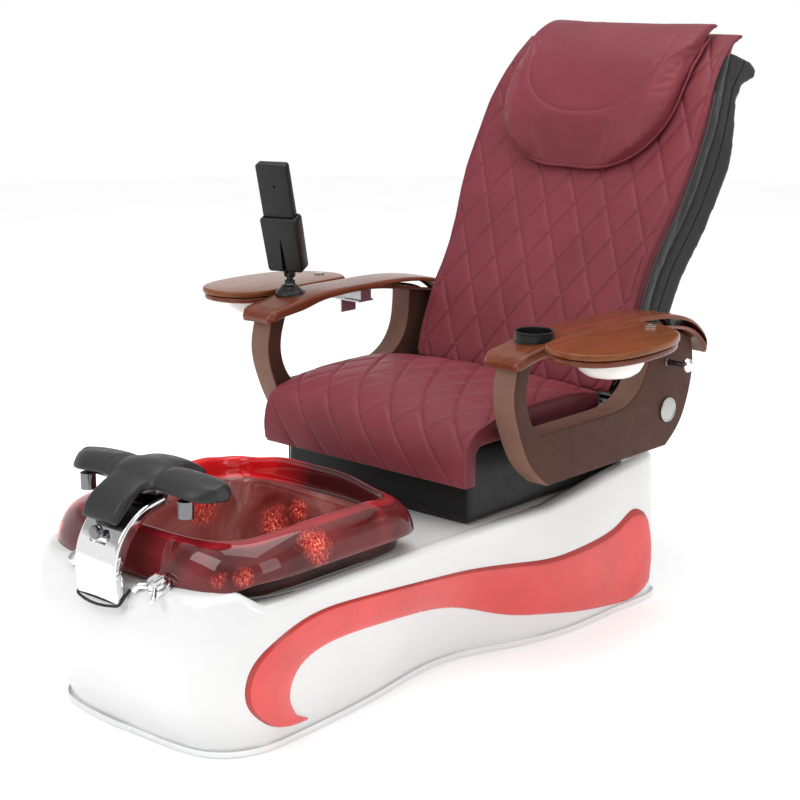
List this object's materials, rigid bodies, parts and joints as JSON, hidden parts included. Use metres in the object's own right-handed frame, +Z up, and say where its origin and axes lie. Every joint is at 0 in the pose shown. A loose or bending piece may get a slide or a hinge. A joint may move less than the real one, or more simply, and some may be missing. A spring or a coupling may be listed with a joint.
{
  "type": "pedicure spa chair",
  "caption": "Pedicure spa chair: reclining quilted massage seat on a white base with a translucent red foot basin, footrest, lifting wooden arms with manicure trays, and a remote stand.",
  "frame": {"origin": "on the floor, under the middle of the chair's whole box with the back at its stored lean", "axes": "+Z up, -Y towards the foot basin and footrest, +Y towards the back, +X to the sitter's left"},
  "size_m": [1.2772, 1.9146, 1.3735],
  "materials": {
    "gelcoat": "glossy white gel coat",
    "chrome_trim": "polished",
    "accent": "glossy coral red",
    "foot_rubber": "matte",
    "steel": "zinc plated",
    "black_steel": "satin black",
    "resin": "glossy translucent red",
    "pipe": "satin",
    "jet": "white",
    "control": "satin",
    "footrest_vinyl": "smooth moulded charcoal foam",
    "ply": "birch ply",
    "black_vinyl": "stitched black vinyl",
    "seat_leather": "burgundy, diamond quilted",
    "back_leather": "burgundy, diamond quilted",
    "roller": "satin",
    "arm_brown": "satin brown urethane",
    "wood": "lacquered cherry",
    "cap_metal": "satin",
    "bowl_white": "glossy white",
    "bracket_steel": "satin",
    "black_plastic": "satin black",
    "button": "soft grey"
  },
  "bodies": {
    "base": {"base_shell": "gelcoat", "base_trim": "chrome_trim", "base_feet": "foot_rubber", "chassis_tubes": "steel", "slide_rails": "steel", "slide_actuator": "steel", "basin": "resin", "drain_strainer": "chrome_trim", "drain_pipe": "pipe", "jet_housing": "jet", "jet_cover": "jet", "access_panel": "gelcoat", "control_box": "control", "faucet_body": "chrome_trim", "sprayer_holder": "chrome_trim", "footrest_bracket": "chrome_trim", "accent_left": "accent", "accent_right": "accent"},
    "jet": {"jet_impeller": "jet"},
    "faucet": {"faucet_lever": "chrome_trim"},
    "sprayer": {"hand_sprayer": "chrome_trim"},
    "footrest": {"footrest_plate": "chrome_trim", "footrest_pad": "footrest_vinyl"},
    "footrest_lock": {"footrest_knob": "chrome_trim"},
    "seat": {"seat_runners": "steel", "seat_pan": "ply", "seat_box": "black_vinyl", "seat_cushion": "seat_leather", "actuator_rod": "steel", "recline_frame": "black_steel", "recline_motor": "black_steel"},
    "back": {"back_shell": "black_vinyl", "back_cushion": "back_leather", "head_pillow": "back_leather", "back_frame": "black_steel", "massage_rails": "steel"},
    "carriage": {"massage_carriage": "black_steel"},
    "rollers": {"massage_rollers": "roller"},
    "arm_left": {"arm_panel_left": "arm_brown", "arm_pad_left": "wood", "pivot_cap_left": "cap_metal", "tray_ring_left": "wood", "tray_bowl_left": "bowl_white", "tray_bracket_left": "bracket_steel", "cup_ring": "black_plastic", "purse_hook": "chrome_trim"},
    "arm_right": {"arm_panel_right": "arm_brown", "arm_pad_right": "wood", "pivot_cap_right": "cap_metal", "tray_ring_right": "wood", "tray_bowl_right": "bowl_white", "tray_bracket_right": "bracket_steel"},
    "lid_left": {"tray_lid_left": "wood"},
    "lid_right": {"tray_lid_right": "wood"},
    "stand": {"remote_stand": "black_plastic"},
    "holder": {"remote_holder": "black_plastic"},
    "remote": {"remote_body": "black_plastic"},
    "key_massage": {"button_massage": "button"},
    "key_recline": {"button_recline": "button"},
    "key_slide": {"button_slide": "button"}
  },
  "joints": [
    {"name": "seat_slide", "type": "slide", "parent": "base", "child": "seat", "axis": [0, 1, 0], "range_m": [-0.09, 0.03]},
    {"name": "back_recline", "type": "hinge", "parent": "seat", "child": "back", "pos_m": [0, 0.35, 0.455], "axis": [-1, 0, 0], "range_deg": [-14, 20]},
    {"name": "massage_travel", "type": "slide", "parent": "back", "child": "carriage", "axis": [0, 0.4695, 0.8829], "range_m": [0, 0.3]},
    {"name": "roller_spin", "type": "hinge", "parent": "carriage", "child": "rollers", "pos_m": [0, 0.58426, 0.80612], "axis": [1, 0, 0], "continuous": true},
    {"name": "arm_lift_left", "type": "hinge", "parent": "seat", "child": "arm_left", "pos_m": [0.374, 0.437, 0.499], "axis": [-1, 0, 0], "range_deg": [0, 60]},
    {"name": "arm_lift_right", "type": "hinge", "parent": "seat", "child": "arm_right", "pos_m": [-0.374, 0.437, 0.499], "axis": [-1, 0, 0], "range_deg": [0, 60]},
    {"name": "lid_swing_left", "type": "hinge", "parent": "arm_left", "child": "lid_left", "pos_m": [0.51, 0.2, 0.741], "axis": [0, 0, 1], "range_deg": [0, 100]},
    {"name": "lid_swing_right", "type": "hinge", "parent": "arm_right", "child": "lid_right", "pos_m": [-0.51, 0.2, 0.741], "axis": [0, 0, -1], "range_deg": [0, 100]},
    {"name": "footrest_tilt", "type": "hinge", "parent": "base", "child": "footrest", "pos_m": [0, -0.806, 0.49], "axis": [-1, 0, 0], "range_deg": [0, 25]},
    {"name": "footrest_lock_turn", "type": "hinge", "parent": "base", "child": "footrest_lock", "pos_m": [0, -0.948, 0.441], "axis": [0, -1, 0], "range_deg": [-90, 90]},
    {"name": "faucet_turn", "type": "hinge", "parent": "base", "child": "faucet", "pos_m": [0.128, -0.9055, 0.35724], "axis": [0, -0.5, 0.866], "range_deg": [-60, 60]},
    {"name": "sprayer_pull", "type": "slide", "parent": "base", "child": "sprayer", "axis": [0, -0.5, 0.866], "range_m": [0, 0.15]},
    {"name": "jet_spin", "type": "hinge", "parent": "base", "child": "jet", "pos_m": [0, -0.5, 0.197], "axis": [0, 0, 1], "continuous": true},
    {"name": "remote_swivel", "type": "hinge", "parent": "arm_right", "child": "stand", "pos_m": [-0.391, -0.022, 0.745], "axis": [0, 0, 1], "range_deg": [-90, 90]},
    {"name": "remote_tilt", "type": "hinge", "parent": "stand", "child": "holder", "pos_m": [-0.391, -0.022, 0.79], "axis": [0.9397, 0.342, 0], "range_deg": [-30, 20]},
    {"name": "remote_lift", "type": "slide", "parent": "holder", "child": "remote", "axis": [0.1057, -0.2904, 0.9511], "range_m": [0, 0.15]},
    {"name": "press_massage", "type": "slide", "parent": "remote", "child": "key_massage", "axis": [0.3253, -0.8937, -0.309], "range_m": [0, 0.0015], "stiffness_N_per_m": 400},
    {"name": "press_recline", "type": "slide", "parent": "remote", "child": "key_recline", "axis": [0.3253, -0.8937, -0.309], "range_m": [0, 0.0015], "stiffness_N_per_m": 400},
    {"name": "press_slide", "type": "slide", "parent": "remote", "child": "key_slide", "axis": [0.3253, -0.8937, -0.309], "range_m": [0, 0.0015], "stiffness_N_per_m": 400}
  ]
}
